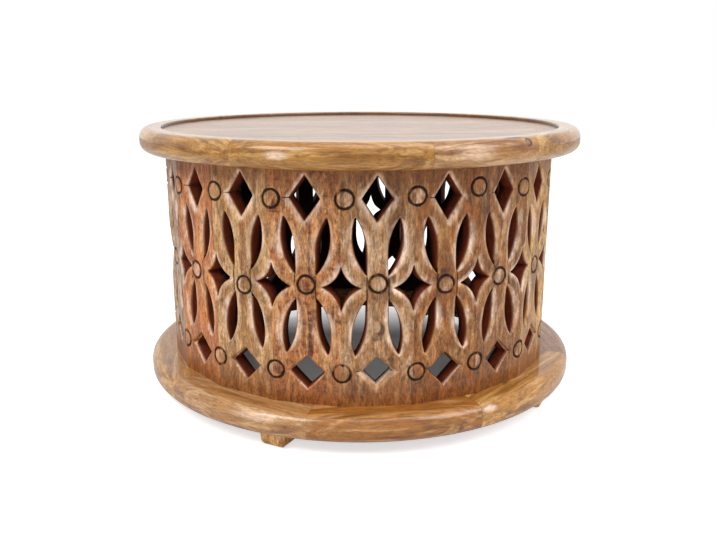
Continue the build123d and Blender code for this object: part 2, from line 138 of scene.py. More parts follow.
class DrumWoodColours(PropertyGroup):
    grey: colour("Grey beige", "Sapwood board with a grey cast", "#98693C")
    grey_deep: colour("Grey beige, deep", "Dark figure in the grey beige boards", "#5C381A")
    grey_pale: colour("Grey beige, pale", "Pale figure in the grey beige boards", "#C2A07C")
    beige: colour("Beige", "Pale, soft board", "#AC7C48")
    beige_deep: colour("Beige, deep", "Dark figure in the beige boards", "#84542E")
    beige_pale: colour("Beige, pale", "Pale figure in the beige boards", "#D4AC7E")
    brown: colour("Brown", "Plain heartwood board", "#8E5422")
    brown_deep: colour("Brown, deep", "Dark figure in the brown boards", "#562C10")
    brown_pale: colour("Brown, pale", "Pale figure in the brown boards", "#B0804C")
    rose: colour("Rose", "Board with a pink cast", "#8E5A2A")
    rose_deep: colour("Rose, deep", "Dark figure in the rose boards", "#5A3016")
    rose_pale: colour("Rose, pale", "Pale figure in the rose boards", "#BE8E60")
    golden: colour("Golden", "Yellow board", "#B07A36")
    golden_deep: colour("Golden, deep", "Dark figure in the golden boards", "#7C4C1C")
    golden_pale: colour("Golden, pale", "Pale figure in the golden boards", "#D6AA6A")
    red: colour("Red brown", "Board with red, rippled figure", "#AA6A36")
    red_deep: colour("Red brown, deep", "Dark figure in the red brown boards", "#642C0C")
    red_pale: colour("Red brown, pale", "Pale figure in the red brown boards", "#CE9A68")
    orange: colour("Orange", "Board with an orange cast", "#B8682A")
    orange_deep: colour("Orange, deep", "Dark figure in the orange boards", "#7E3C0E")
    orange_pale: colour("Orange, pale", "Pale figure in the orange boards", "#DE9E60")
    rim: colour("Rim", "Segments of the rim", "#A4702E")
    rim_deep: colour("Rim, deep", "Dark figure in the rim", "#7C4C18")
    rim_pale: colour("Rim, pale", "Pale figure in the rim", "#CCA062")
    base: colour("Base ring", "Segments of the base ring", "#985F22")
    base_deep: colour("Base ring, deep", "Dark figure in the base ring", "#6A3E12")
    base_pale: colour("Base ring, pale", "Pale figure in the base ring", "#C08E58")
    # Partly painted light: the feet's tones are paler to lift the shade under the base ring
    foot: colour("Foot", "Blocks of the feet", "#D09A54")
    foot_deep: colour("Foot, deep", "Dark figure in the feet", "#A06C32")
    foot_pale: colour("Foot, pale", "Pale figure in the feet", "#E8C694")
    panel: colour("Panel", "Planks of the top", "#966C42")
    panel_deep: colour("Panel, deep", "Dark figure in the top's planks", "#70492A")
    panel_pale: colour("Panel, pale", "Pale figure in the top's planks", "#B89068")
    sawn: colour("Sawn wood", "Bare wood of the battens under the top", "#80603F")
    sawn_deep: colour("Sawn wood, deep", "Dark figure in the bare wood", "#5E4229")
    sawn_pale: colour("Sawn wood, pale", "Pale figure in the bare wood", "#A08460")
    # Partly painted highlight: pale for wear, and for the lacquer's sheen on the carved edges and on the rings
    wear_and_sheen: colour("Carved edge", "Pale wood where the chisel rounded the edges", "#EACBB2")
    throat: colour("Sawn side", "Red-brown stain on the sawn sides of the openings", "#6A2A12")
    # Painted shade: the dark of the grooves and saw cuts; the same colour is the crescent round the first
    # stave's knot
    cut: colour("Cut", "Dark stain in the grooves and along the saw's cuts", "#200C04")
    knot: colour("Knot", "Dark ring of the rim's knot", "#4A2810")
    knot_middle: colour("Knot's middle", "Wood inside the ring of the rim's knot", "#96744E")
    bark: colour("Bark", "Dark line beside the rim's knot", "#3E1C12")
    # Painted shade: these two colours darken the boards under the rim and at the wall's foot, where shade falls
    end_shade_brown: colour("Shaded brown", "Brown that the boards share under the rim and at the wall's foot", "#9A683C")
    end_shade_tint: colour("Shade tint", "Film that darkens the boards under the rim and at the wall's foot", "#EBD3B4")
    # Painted shade in the corner between the panel and the rim, and on the rim's inner wall
    dirt: colour("Corner shade", "Dark dirt in the corner between the panel and the rim", "#4A2A20")
    # Painted shade: nearly black for the shade inside the closed drum
    inner: colour("Inner face", "Dark stain on the wall's inner face", "#2A1A12")
    zinc: colour("Zinc", "Plating of the screws", "#A8A8A2")
    zinc_bright: colour("Zinc, bright", "Plating where the driver brushed it", "#C9C9C4")


class DrumStageSizes(PropertyGroup):
    camera_distance: length("Camera distance", "From the drum's axis to the camera, level", 1391.6)
    camera_height: length("Camera height", "Camera's height above the floor", 545.1)
    camera_pitch: FloatProperty(
        name="Camera pitch", description="How far the camera looks down", default=radians(14.59),
        subtype="ANGLE",
    )
    camera_lens: FloatProperty(name="Lens", description="Focal length on a 36 mm wide sensor", default=39.24)
    floor_size: length("Floor size", "Side of the square floor", 12000.0)
    paper_glow: FloatProperty(
        name="Paper glow", description="What the camera sees the paper brighter by", default=0.62, min=0
    )
    world_strength: FloatProperty(
        name="Surroundings", description="Light of the white surroundings", default=0.5, min=0
    )
    key_power: FloatProperty(name="Key light", description="Light from the left", default=40.0, unit="POWER")
    side_power: FloatProperty(name="Side light", description="Light from the right", default=33.0, unit="POWER")
    top_power: FloatProperty(name="Top light", description="Light from above", default=20.0, unit="POWER")


# Outlines of the openings, in the flat of a stave: across from its centre line, and up from the middle row
def arc_through(start, middle, end, count=24):
    """Points on the circle through three points, from the first to the last.

    The centre is where the upright bisectors of the two chords cross.
    """
    (ax, ay), (bx, by), (cx, cy) = start, middle, end
    twice_area = 2 * (ax * (by - cy) + bx * (cy - ay) + cx * (ay - by))
    a, b, c = ax * ax + ay * ay, bx * bx + by * by, cx * cx + cy * cy
    x = (a * (by - cy) + b * (cy - ay) + c * (ay - by)) / twice_area
    y = (a * (cx - bx) + b * (ax - cx) + c * (bx - ax)) / twice_area
    first, via, last = (atan2(py - y, px - x) for px, py in (start, middle, end))
    turn = (last - first) % (2 * pi)
    if (via - first) % (2 * pi) > turn:
        turn -= 2 * pi
    angles = first + turn * np.linspace(0, 1, count)
    radius = hypot(ax - x, ay - y)
    return np.column_stack((x + radius * np.cos(angles), y + radius * np.sin(angles)))


def leaf_outline(sizes):
    """Leaf right of the strap and above the middle row: straight up the strap, then two arcs that meet at
    its tip. The first arc leaves the strap upright, so its radius follows from its two ends.
    """
    foot, bend = (sizes.strap_half_width, sizes.leaf_foot), (sizes.strap_half_width, sizes.leaf_bend)
    bulge = (sizes.leaf_bulge_across, sizes.leaf_bulge_up)
    tip = (sizes.leaf_tip_across, sizes.row_pitch - sizes.leaf_tip_short)
    across, up = tip[0] - bend[0], tip[1] - bend[1]
    radius = (across**2 + up**2) / (2 * across)
    half = atan2(up, radius - across) / 2
    middle = (bend[0] + radius * (1 - cos(half)), bend[1] + radius * sin(half))
    return np.vstack((arc_through(bend, middle, tip), arc_through(tip, bulge, foot, 32)[1:]))


def star_outline(sizes):
    """Four-pointed star round the middle of a joint: an arc bowed inwards between each two points."""
    across, up = sizes.star_half_width, sizes.star_half_height
    share = sizes.star_waist / hypot(across, up)
    corners = [(across, 0), (0, up), (-across, 0), (0, -up)]
    sides = []
    for start, end in zip(corners, corners[1:] + corners[:1]):
        middle = ((start[0] + end[0]) * share, (start[1] + end[1]) * share)
        sides.append(arc_through(start, middle, end)[:-1])
    return np.vstack(sides)


def diamond_outline(half_width, half_height):
    return np.array([(half_width, 0), (0, half_height), (-half_width, 0), (0, -half_height)])


def signed_distance(across, up, outline):
    """Distance of points from a closed outline, negative inside it.

    It is the least distance to any of the outline's straight sides, and a point is inside
    where a ray from it crosses the sides an odd number of times.
    """
    nearest = np.full(across.shape, np.inf)
    inside = np.zeros(across.shape, bool)
    for (ax, ay), (bx, by) in zip(outline, np.roll(outline, -1, axis=0)):
        dx, dy = bx - ax, by - ay
        along = np.clip(((across - ax) * dx + (up - ay) * dy) / (dx * dx + dy * dy), 0, 1)
        nearest = np.minimum(nearest, np.hypot(across - ax - along * dx, up - ay - along * dy))
        if dy != 0:
            crosses = ((ay > up) != (by > up)) & (across < ax + (up - ay) * dx / dy)
            inside ^= crosses
    return np.where(inside, -nearest, nearest)


def rounded(share):
    """Drop of a rounded edge, 0 on the face and 1 at the saw's cut: a quarter of an ellipse."""
    share = np.clip(share, 0, 1)
    return 1 - np.sqrt(1 - share**2)


def opening_distance(sizes, across, up, broad_sill):
    """Distance from the nearest opening, negative inside one, the carved edges' drop and the way into them.

    The four leaves and the two half stars are one leaf and one star, folded about the stave's centre
    line and the middle row. Each drop is its edge's rounding, and where two meet they blend as the
    cube root of the sum of their cubes. The way into an edge is 0 on the face and 1 at the saw's cut.
    """
    side, rise = np.abs(across), np.abs(up)
    half_width = sizes.joint_radius * sin(pi / sizes.stave_count)
    leaf = signed_distance(side, rise, leaf_outline(sizes))
    star = signed_distance(half_width - side, rise, star_outline(sizes))
    upper_diamond = diamond_outline(sizes.upper_half_width, sizes.upper_half_height)
    upper = signed_distance(side, up - sizes.row_pitch, upper_diamond)
    kind = "broad" if broad_sill else "lower"
    half, tall, raised, reach = (
        getattr(sizes, f"{kind}_{size}") for size in ("half_width", "half_height", "raise", "reach")
    )
    low_centre = raised - sizes.row_pitch
    lower = signed_distance(side, up - low_centre, diamond_outline(half, tall))

    # The leaves' edges are the strap's up to 18 mm across and the curve's from 28 mm, narrow at both ends
    leaf_length = sizes.row_pitch - sizes.leaf_tip_short - sizes.leaf_foot
    length_share = np.clip((rise - sizes.leaf_foot) / leaf_length, 0, 1)
    full = np.interp(side, (18 * MM, 28 * MM), (sizes.strap_edge, sizes.curve_edge))
    leaf_edge = sizes.leaf_end_edge + (full - sizes.leaf_end_edge) * np.sin(pi * length_share) ** 0.6
    # The diamonds' lower edges are twice as wide as their upper ones
    diamond_edge = sizes.diamond_edge * np.interp(up - sizes.row_pitch, (-10 * MM, 10 * MM), (2, 1))
    shares = [1 - leaf / leaf_edge, 1 - star / sizes.star_edge, 1 - upper / diamond_edge]
    # The stars' and the diamonds' edges drop a little less than the leaves'
    drops = [sizes.edge_depth * part * rounded(share) for part, share in zip((1, 0.9, 0.8), shares)]
    # The sill falls evenly from its outer diamond, which reaches 1 mm further down, to the opening
    below = np.maximum(low_centre - up, 0)
    above = np.maximum(up - low_centre, 0)
    throat = side / half + (above + below) / tall - 1
    mouth = 1 - side / (half + reach) - above / tall - below / (tall + reach + 1 * MM)
    sill = np.clip(mouth, 0, None) / np.maximum(np.clip(mouth, 0, None) + np.clip(throat, 0, None), 1e-6)
    sill = np.where(throat <= 0, 1, sill)
    drops.append(sizes.sill_depth * sill)
    # A broad sill is painted pale right to the opening, for wear and as painted highlight on its upward face
    shares.append(np.minimum(np.where(up < low_centre, 1.6, 0.8) * sill, 0.82 if broad_sill else 1))
    drop = sum(d**3 for d in drops) ** (1 / 3)
    return np.minimum.reduce([leaf, star, upper, lower]), drop, np.clip(np.maximum.reduce(shares), 0, 1)


# The carved face is a grid cut off along the openings' edges. Corners of a cell are numbered 0 to 3 from
# the lower left, counter-clockwise, and its sides 4 to 7 from the bottom one. Points nearer to an edge
# than this share of a step are moved off it, so that no slivers are cut
LEAST_DISTANCE = 0.06


def cell_pieces(case):
    """Polygon that is left of a cell, and the cut sides of it, for one set of corners that are in the wood."""
    inside = [bool(case >> k & 1) for k in range(4)]
    polygon, crossings = [], []
    for k in range(4):
        if inside[k]:
            polygon.append(k)
        if inside[k] != inside[(k + 1) % 4]:
            polygon.append(4 + k)
            crossings.append((4 + k, inside[k]))
    cuts = []
    for (first, leaving), (second, _) in zip(crossings, crossings[1:] + crossings[:1]):
        if leaving:
            cuts.append((first, second))
    return polygon, cuts


def cut_grid(across, up, distance):
    """Points, polygons and edge lines of a grid that is kept where the distance is positive.

    A side of a cell with one end outside is cut where the distance, taken as a straight line, is zero.
    The edge lines run counter-clockwise with the wood on their left, round openings and outside.
    """
    rows, columns = distance.shape
    least = LEAST_DISTANCE * (across[0, 1] - across[0, 0])
    distance = np.where(np.abs(distance) < least, np.where(distance < 0, -least, least), distance)
    corner = np.arange(rows * columns).reshape(rows, columns)
    level = rows * columns + np.arange(rows * (columns - 1)).reshape(rows, columns - 1)
    upright = level[-1, -1] + 1 + np.arange((rows - 1) * columns).reshape(rows - 1, columns)

    def cut_point(values, share_axis, share):
        first = values[:, :-1] if share_axis else values[:-1]
        second = values[:, 1:] if share_axis else values[1:]
        return (first + (second - first) * share).ravel()

    with np.errstate(divide="ignore", invalid="ignore"):
        level_share = distance[:, :-1] / (distance[:, :-1] - distance[:, 1:])
        upright_share = distance[:-1] / (distance[:-1] - distance[1:])
    level_share = np.clip(np.nan_to_num(level_share), 0, 1)
    upright_share = np.clip(np.nan_to_num(upright_share), 0, 1)
    points = np.column_stack([
        np.concatenate((
            values.ravel(), cut_point(values, 1, level_share), cut_point(values, 0, upright_share),
        ))
        for values in (across, up)
    ])
    local = np.stack((
        corner[:-1, :-1], corner[:-1, 1:], corner[1:, 1:], corner[1:, :-1],
        level[:-1], upright[:, 1:], level[1:], upright[:, :-1],
    ))
    wood = distance > 0
    case = wood[:-1, :-1] + 2 * wood[:-1, 1:] + 4 * wood[1:, 1:] + 8 * wood[1:, :-1]
    polygons, lines = [], []
    for number in range(1, 16):
        here = case == number
        polygon, cuts = cell_pieces(number)
        polygons.append(local[polygon][:, here].T)
        lines += [local[list(cut)][:, here].T for cut in cuts]
    outside = (
        (np.s_[0, :], 0, 4, 1), (np.s_[:, -1], 1, 5, 2), (np.s_[-1, :], 2, 6, 3), (np.s_[:, 0], 3, 7, 0),
    )
    for border, start, cut, end in outside:
        ids, state = local[(slice(None), *border)], case[border]
        start_in, end_in = state >> start & 1, state >> end & 1
        first = np.where(start_in, ids[start], ids[cut])
        second = np.where(end_in, ids[end], ids[cut])
        lines.append(np.column_stack((first, second))[(start_in | end_in) > 0])
    lines = np.vstack(lines)
    used = np.unique(np.concatenate([p.ravel() for p in polygons]))
    fresh = np.full(len(points), -1)
    fresh[used] = np.arange(len(used))
    return points[used], [fresh[p] for p in polygons if len(p)], fresh[lines]


def mesh_from(name, points, polygons, slots, attributes):
    """Mesh with smooth faces that stay crisp past 50 degrees, and a number at each point for each attribute.

    Slots give each group of polygons its material's number.
    """
    mesh = bpy.data.meshes.new(name)
    sides = np.concatenate([np.full(len(p), p.shape[1]) for p in polygons])
    corners = np.concatenate([p.ravel() for p in polygons])
    mesh.vertices.add(len(points))
    mesh.vertices.foreach_set("co", points.astype(np.float32).ravel())
    mesh.loops.add(len(corners))
    mesh.loops.foreach_set("vertex_index", corners.astype(np.int32))
    mesh.polygons.add(len(sides))
    mesh.polygons.foreach_set("loop_start", np.concatenate(([0], np.cumsum(sides)[:-1])).astype(np.int32))
    numbers = np.concatenate([np.full(len(p), slot) for p, slot in zip(polygons, slots)])
    mesh.polygons.foreach_set("material_index", numbers.astype(np.int32))
    for attribute, values in attributes.items():
        data = mesh.attributes.new(attribute, "FLOAT", "POINT").data
        data.foreach_set("value", values.astype(np.float32))
    mesh.update(calc_edges=True)
    mesh.validate()
    mesh.set_sharp_from_angle(angle=radians(50))
    return mesh


# How far the hand set a circle across and up from its true place, in millimetres, by stave or joint.
# The others drift by up to 3 mm
CENTRE_DRIFTS = {
    0: (0.2, 6.4), 1: (-2.3, 0.0), 2: (-5.2, -0.8), 3: (-1.9, -2.3),
    17: (-4.3, -1.5), 18: (2.9, -7.1), 19: (1.2, 2.9),
}
UPPER_JOINT_DRIFTS = {
    0: (5.8, 0.0), 1: (3.0, 3.4), 2: (-3.7, 10.8), 3: (-8.3, 1.1), 18: (4.4, 0.9), 19: (3.1, -1.7),
}
LOWER_JOINT_DRIFTS = {
    0: (0.6, 0.0), 1: (6.2, 0.0), 2: (0.5, 1.9), 3: (-0.7, -3.1), 18: (0.4, -1.7), 19: (3.7, -1.4),
}


def hand_drift(seed):
    """Small repeatable error of hand work, across and up in millimetres."""
    return tuple(3 * sin(2.4 * x + 0.7) * cos(1.1 * x) for x in (seed, seed + 31))


def circle_centres(sizes, index):
    """Places of the circles on a stave, (across, up), where the hand set them, the middle one first."""
    half_width = sizes.joint_radius * sin(pi / sizes.stave_count)
    across, up = CENTRE_DRIFTS.get(index, hand_drift(index))
    centres = [(across * MM, up * MM)]
    for joint, side in ((index, -1), (index + 1, 1)):
        number = joint % sizes.stave_count
        for row, drifts in ((-1, LOWER_JOINT_DRIFTS), (1, UPPER_JOINT_DRIFTS)):
            across, up = drifts.get(number, hand_drift(2 * number + max(row, 0)))
            centres.append((side * half_width + across * MM, row * sizes.row_pitch + up * MM))
    return centres


def carve_stave(sizes, index, board):
    """One stave as a closed shell: the carved face, the sawn sides of the openings and the flat inner face.

    A point of the face lies at its drop behind the flat. The inner face is the same pattern, narrowed
    towards the joints as the mitre needs. Hand work shifts the outlines by up to a millimetre, as waves
    in the bearing and the height, with no shift across at the joints, so neighbours still meet.
    """
    points, polygons, lines, _, drop, share = board
    across, up = points.T
    half_angle = pi / sizes.stave_count
    half_width = sizes.joint_radius * sin(half_angle)
    face_distance = sizes.joint_radius * cos(half_angle)
    inner_half_width = (face_distance - sizes.thickness) * tan(half_angle)

    # Circles: distance from the nearest one's centre, then a smooth dip over the groove
    from_centre = np.full(len(points), np.inf)
    for x, y in circle_centres(sizes, index):
        from_centre = np.minimum(from_centre, np.hypot(across - x, up - y))
    groove_middle = sizes.circle_radius - sizes.groove_width / 2
    dip = np.clip(1 - np.abs(from_centre - groove_middle) / (0.75 * sizes.groove_width), 0, 1)
    joint_share = np.clip(1 - (half_width - np.abs(across)) / sizes.joint_ease, 0, 1)
    depth = drop + sizes.groove_depth * dip * dip * (3 - 2 * dip) + sizes.joint_drop * joint_share**2

    middle = sizes.first_bearing + 2 * half_angle * index
    bearing = middle + half_angle * across / half_width
    # There are 23 and 17 waves to a turn. The shift up fades out 170 mm from the middle row, and the shift
    # across at the joints
    free_across = np.cos(pi / 2 * np.clip(across / half_width, -1, 1)) ** 2
    free_up = np.cos(pi / 2 * np.clip(up / (170 * MM), -1, 1))
    shift_up = sizes.wander_up * np.sin(23 * bearing + up / (60 * MM)) * free_up
    shift_across = sizes.wander_across * np.sin(17 * bearing + up / (45 * MM) + 1) * free_across

    fold = np.clip((np.abs(across) - 0.75 * half_width) / (0.25 * half_width), 0, 1)
    narrowing = np.sign(across) * fold * (half_width - inner_half_width)
    side = middle - pi / 2
    rings = []
    for level in (depth, np.full(len(points), sizes.thickness)):
        flat = across + shift_across - narrowing * level / sizes.thickness
        out = face_distance - level
        rings.append(np.column_stack((
            out * cos(side) - flat * sin(side),
            out * sin(side) + flat * cos(side),
            sizes.pattern_height + up + shift_up,
        )))
    count = len(points)
    walls = np.column_stack((lines[:, 0], lines[:, 0] + count, lines[:, 1] + count, lines[:, 1]))
    faces = [*polygons, *(count + p[:, ::-1] for p in polygons), walls]
    slots = [0] * len(polygons) + [1] * (len(polygons) + 1)
    # Materials read these. The last one is 0 on the face and 1 on the inner face
    attributes = {
        "across": np.tile(across, 2),
        "up": np.tile(up, 2),
        "edge": np.tile(share, 2),
        "from_centre": np.tile(from_centre, 2),
        "inside": np.repeat((0.0, 1.0), count),
    }
    return mesh_from(f"stave_{index + 1:02d}_carved", np.vstack(rings), faces, slots, attributes)


def flat_board(sizes, broad_sill):
    """Pattern that staves share: its points, polygons, edge lines, distances, drops and edge shares."""
    half_width = sizes.joint_radius * sin(pi / sizes.stave_count)
    low, high = WALL_LOW - sizes.pattern_height, WALL_HIGH - sizes.pattern_height
    columns = 2 * round(half_width / sizes.step) + 1
    rows = round((high - low) / sizes.step) + 1
    across, up = np.meshgrid(np.linspace(-half_width, half_width, columns), np.linspace(low, high, rows))
    points, polygons, lines = cut_grid(across, up, opening_distance(sizes, across, up, broad_sill)[0])
    return points, polygons, lines, *opening_distance(sizes, *points.T, broad_sill)


# Materials

# Settings of the nodes of a kind where no others are given. A smooth Map Range holds its ends
USUAL_SETTINGS = {
    "Mapping": {"vector_type": "TEXTURE"},
    "MapRange": {"interpolation_type": "SMOOTHSTEP"},
    "Mix": {"data_type": "RGBA"},
}


def add_node(tree, kind, *values, output=None, **settings):
    """Adds a shader node and returns its first output in use, or the named one.

    Values fill the inputs that the settings leave in use, in order, and a dict fills them by name.
    A value is a number, a vector, a colour or another node's output.
    """
    node = tree.nodes.new(f"ShaderNode{kind}")
    for name, value in {**USUAL_SETTINGS.get(kind, {}), **settings}.items():
        setattr(node, name, value)
    if values and isinstance(values[0], dict):
        filled = [(node.inputs[name], value) for name, value in values[0].items()]
    else:
        filled = zip([socket for socket in node.inputs if socket.enabled], values)
    for socket, value in filled:
        if isinstance(value, NodeSocket):
            tree.links.new(value, socket)
        else:
            socket.default_value = (*value, 1) if socket.type == "RGBA" else value
    return node.outputs[output] if output else next((s for s in node.outputs if s.enabled), None)


def new_material(name):
    material = bpy.data.materials.new(name)
    material.use_nodes = True
    material.node_tree.nodes.clear()
    return material, material.node_tree


def streaks(tree, place, turn, lengths, seed, detail=2.0, warp=0.0):
    """Noise drawn out to the given lengths along the board's own axes, as wood's figure is."""
    start = (0.31 * seed, 0.17 * seed, 0.23 * seed)
    return add_node(tree, "TexNoise", {
        "Vector": add_node(tree, "Mapping", place, start, (0, 0, turn), lengths),
        "Scale": 1.0, "Detail": detail, "Roughness": 0.6, "Distortion": warp,
    })


class Board:
    """Where a board's grain runs: its turn about the drum's axis, upright or level, and its own seed."""

    def __init__(self, tree, turn, upright, seed, stretch=1.0):
        self.tree, self.turn, self.upright, self.seed, self.stretch = tree, turn, upright, seed, stretch
        self.place = add_node(tree, "TexCoord", output="Object")

    def drawn(self, along, across, extra, detail=2.0, warp=0.0):
        """Noise that is some millimetres long with the grain, times the board's stretch, and wide across it.

        Extra is added to the board's seed, so that no two layers of its figure are alike.
        """
        along, across = along * self.stretch * MM, across * MM
        lengths = (across, across, along) if self.upright else (along, across, across)
        return streaks(self.tree, self.place, self.turn, lengths, self.seed + extra, detail, warp)


def board_colour(board, tones, ripple=0.0):
    """Broad figure of a mango board: streaks 15 mm wide and 150 mm long, with pale and dark bands among them.

    Tones are the board's middle, deep and pale colours. Ripple is the strength of short bars across the grain.
    """
    tree, (middle, deep, pale) = board.tree, tones
    figure = add_node(tree, "Math", board.drawn(150, 17, 0, 2.0, 0.6), 0.55, operation="MULTIPLY")
    figure = add_node(tree, "Math", board.drawn(40, 22, 7, 3.0, 1.0), 0.45, figure, operation="MULTIPLY_ADD")
    if ripple:
        bars = board.drawn(8, 24, 29, 2.0, 0.5)
        figure = add_node(tree, "Math", bars, ripple, figure, operation="MULTIPLY_ADD")
    # The bars average a half, so the range moves up by half their strength
    light = add_node(tree, "MapRange", figure, 0.35 + ripple / 2, 0.54 + ripple / 2)
    bands = add_node(tree, "MapRange", board.drawn(80, 20, 41, 3.0, 1.5), 0.46, 0.66, 0.0, 0.7)
    return add_node(tree, "Mix", bands, add_node(tree, "Mix", light, deep, middle), pale)


def board_grain(board, wood, strength=1.0):
    """Fine figure over a board's colour, and its relief: fibres 2 mm wide, flecks, mottle and short dark pores.

    Pores in mango are 0.2 mm wide, too fine to show, so they are drawn 1 mm wide and 9 mm long.
    """
    tree = board.tree
    fibre = board.drawn(30, 2.0, 13)
    fleck = add_node(tree, "MapRange", board.drawn(12, 4.5, 23, 3.0, 1.5), 0.36, 0.58)
    mottle = add_node(tree, "MapRange", board.drawn(4.5, 4, 31), 0.3, 0.7)
    pore = add_node(tree, "MapRange", board.drawn(9, 1.1, 19, 1.0), 0.58, 0.70)
    for figure, *ends in (
        (fibre, 0.3, 0.7, 0.90, 1.09),
        (fleck, 0.0, 1.0, 0.68, 1.12),
        (mottle, 0.0, 1.0, 0.92, 1.08),
        (pore, 0.0, 1.0, 1.02, 0.66),
    ):
        shade = add_node(tree, "MapRange", figure, *ends)
        wood = add_node(tree, "Mix", strength, wood, shade, blend_type="MULTIPLY")
    return wood, add_node(tree, "Math", pore, -0.8, fibre, operation="MULTIPLY_ADD")


def lacquered(tree, wood, relief, coat=0.45, roughness=0.45, coat_roughness=0.15):
    """Clear lacquer over wood: the filled grain is dull, and the coat above it has the shine."""
    bump = add_node(tree, "Bump", {"Strength": 0.5, "Distance": 0.12 * MM, "Height": relief})
    shader = add_node(tree, "BsdfPrincipled", {
        "Base Color": wood, "Roughness": roughness, "IOR": 1.5, "Specular IOR Level": 0.15,
        "Normal": bump, "Coat Weight": coat, "Coat Roughness": coat_roughness, "Coat IOR": 1.5,
    })
    add_node(tree, "OutputMaterial", shader)


def paint_spots(board, wood, colours, spots, bearing=0.0):
    """Puts soft-edged ellipsoids of a colour over the wood.

    A spot is its colour, its strength, the share of its half size that is solid, its bearing past the given
    one in degrees, and in millimetres its distance from the axis, its height, and its half size outwards,
    round the drum and up.
    """
    for tone, strength, solid, degrees, radius, height, half_size in spots:
        turn = bearing + radians(degrees) - pi / 2
        centre = (radius * MM * cos(turn), radius * MM * sin(turn), height * MM)
        half_size = [half * MM for half in half_size]
        off = add_node(board.tree, "Mapping", board.place, centre, (0, 0, turn), half_size)
        off = add_node(board.tree, "VectorMath", off, operation="LENGTH")
        share = add_node(board.tree, "MapRange", off, solid, 1.0, strength, 0.0)
        wood = add_node(board.tree, "Mix", share, wood, getattr(colours, tone))
    return wood


def from_axis(tree, place):
    """Distance from the drum's axis."""
    flat = add_node(tree, "VectorMath", place, (1, 1, 0), operation="MULTIPLY")
    return add_node(tree, "VectorMath", flat, operation="LENGTH")


def plain_wood(
    name, tones, colours, turn, upright, seed, stretch=1.0, glue=(), dirt=(), spots=(), strength=1.0, **finish
):
    """Mango board planed and lacquered: warm, uneven brown with a satin shine, dark along its glued ends.

    Glue is the bearings and the distances from the axis of the joints' planes.
    dirt is two distances from the drum's axis: painted shade darkens the wood at the first and is gone from the
    second.
    """
    material, tree = new_material(name)
    board = Board(tree, turn, upright, seed, stretch)
    wood = paint_spots(board, board_colour(board, tones), colours, spots)
    wood, relief = board_grain(board, wood, strength)
    for bearing, distance in glue:
        normal = (cos(bearing), sin(bearing), 0)
        off = add_node(tree, "VectorMath", board.place, normal, operation="DOT_PRODUCT")
        off = add_node(tree, "Math", off, distance, operation="SUBTRACT")
        off = add_node(tree, "Math", off, operation="ABSOLUTE")
        line = add_node(tree, "MapRange", off, 0.2 * MM, 0.8 * MM, 0.7, 1.0)
        wood = add_node(tree, "Mix", 1.0, wood, line, blend_type="MULTIPLY")
    # Painted shade in the corner between the panel and the rim
    if dirt:
        shaded_corner = add_node(tree, "MapRange", from_axis(tree, board.place), *dirt, 0.85, 0.0)
        wood = add_node(tree, "Mix", shaded_corner, wood, colours.dirt)
    lacquered(tree, wood, relief, **finish)
    return material


def narrow_box(tree, across, up, centre, half_size):
    """1 inside a small upright box on the face and 0 outside it, from the larger of the two distances."""
    distances = []
    for value, middle, half in zip((across, up), centre, half_size):
        off = add_node(tree, "Math", value, middle, operation="SUBTRACT")
        off = add_node(tree, "Math", off, operation="ABSOLUTE")
        distances.append(add_node(tree, "Math", off, half, operation="SUBTRACT"))
    larger = add_node(tree, "Math", *distances, operation="MAXIMUM")
    return add_node(tree, "MapRange", larger, -0.3 * MM, 0.4 * MM, 1.0, 0.0)


